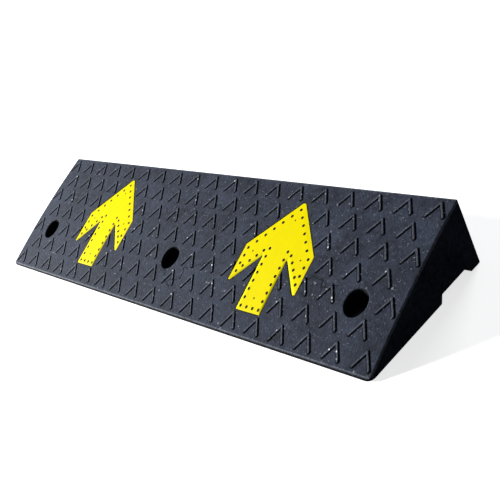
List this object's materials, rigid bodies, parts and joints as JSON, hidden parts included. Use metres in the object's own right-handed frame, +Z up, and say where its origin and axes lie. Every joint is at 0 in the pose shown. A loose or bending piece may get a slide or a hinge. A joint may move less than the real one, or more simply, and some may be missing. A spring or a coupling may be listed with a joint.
{
  "type": "rubber kerb ramp",
  "caption": "Moulded rubber kerb ramp wedge with a chevron grip tread, set-in yellow arrows, bolt-down holes and a drainage channel underneath.",
  "frame": {"origin": "on the ground, in the middle of the length and of the width", "axes": "+X along the kerb, +Y from the thin toe to the tall back face, +Z up"},
  "size_m": [1, 0.24, 0.1],
  "materials": {
    "black_rubber": "matt moulded rubber with fine light crumbs",
    "yellow_film": "smooth yellow marking film, satin",
    "washer_steel": "zinc plated, dull"
  },
  "bodies": {
    "root": {"ramp_body": "black_rubber", "arrow_marking_left": "yellow_film", "arrow_marking_right": "yellow_film", "fixing_washer_left": "washer_steel", "fixing_washer_centre": "washer_steel", "fixing_washer_right": "washer_steel"}
  },
  "joints": []
}
